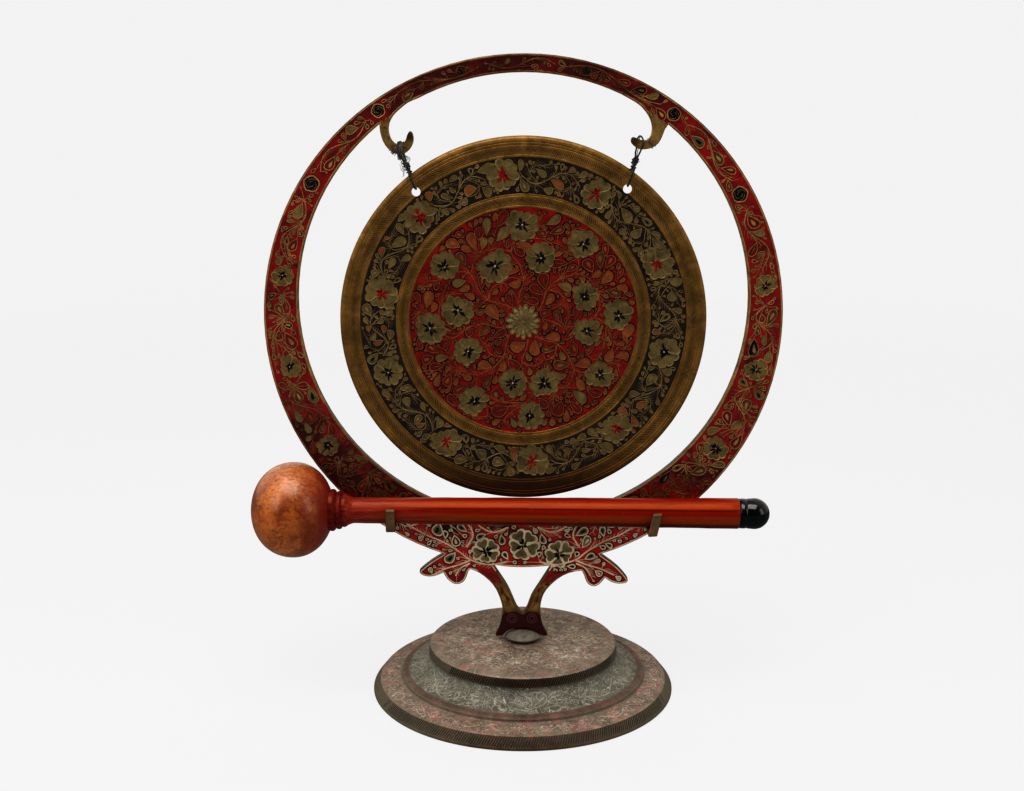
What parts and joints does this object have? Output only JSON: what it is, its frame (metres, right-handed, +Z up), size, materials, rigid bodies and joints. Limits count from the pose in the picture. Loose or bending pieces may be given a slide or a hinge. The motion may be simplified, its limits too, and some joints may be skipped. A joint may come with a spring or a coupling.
{
  "type": "table gong with beater",
  "caption": "Enamelled brass gong disc hung by cords from a ring stand on a stepped round base, with a ball-headed wooden beater lying on rests.",
  "frame": {"origin": "on the table plane, under the middle of the whole width and depth; the base's own centre is 3.7 mm to the +X side of it", "axes": "+Z up, -Y out of the decorated front, +X towards the beater's black knob"},
  "size_m": [0.2478, 0.1458, 0.3019],
  "materials": {
    "dull_brass": "worn, dusty",
    "old_brass": "aged satin",
    "plain_steel": "plain",
    "red_enamel": "glossy, worn, on brass",
    "gong_brass": "engraved and enamelled",
    "black_cord": "twisted",
    "grey_thread": "fine",
    "orange_wood": "varnished",
    "red_wood": "varnished",
    "black_gloss": "high gloss"
  },
  "bodies": {
    "stand": {"base_shell": "dull_brass", "base_washer": "old_brass", "base_nut": "plain_steel", "stand_stud": "plain_steel", "foot_flange": "dull_brass", "ring_frame": "red_enamel", "left_beater_rest": "old_brass", "right_beater_rest": "old_brass", "left_hook_thread": "grey_thread", "right_hook_thread": "grey_thread"},
    "left_tie": {"left_tie_cord": "black_cord", "left_tie_knot": "black_cord"},
    "right_tie": {"right_tie_cord": "black_cord", "right_tie_knot": "black_cord"},
    "gong": {"gong_disc": "gong_brass"},
    "beater": {"beater_head": "orange_wood", "beater_shaft": "red_wood", "beater_knob": "black_gloss"}
  },
  "joints": [
    {"name": "left_tie_swing", "type": "hinge", "parent": "stand", "child": "left_tie", "pos_m": [-0.05223, 0, 0.2596], "axis": [0.9998, 0, 0.0193], "range_deg": [-0.8, 25]},
    {"name": "right_tie_swing", "type": "hinge", "parent": "stand", "child": "right_tie", "pos_m": [0.05638, 0, 0.2617], "axis": [0.9998, 0, 0.0193], "range_deg": [-0.8, 25]},
    {"name": "gong_swing", "type": "hinge", "parent": "left_tie", "child": "gong", "pos_m": [-0.0453, 0, 0.24204], "axis": [0.9999, 0, 0.014], "range_deg": [-0.8, 12]},
    {"name": "beater_lift", "type": "slide", "parent": "stand", "child": "beater", "axis": [-0.7071, 0, 0.7071], "range_m": [0, 0.03]}
  ],
  "couplings": [
    {"joint": "right_tie_swing", "follows": "left_tie_swing", "ratio": 1}
  ]
}
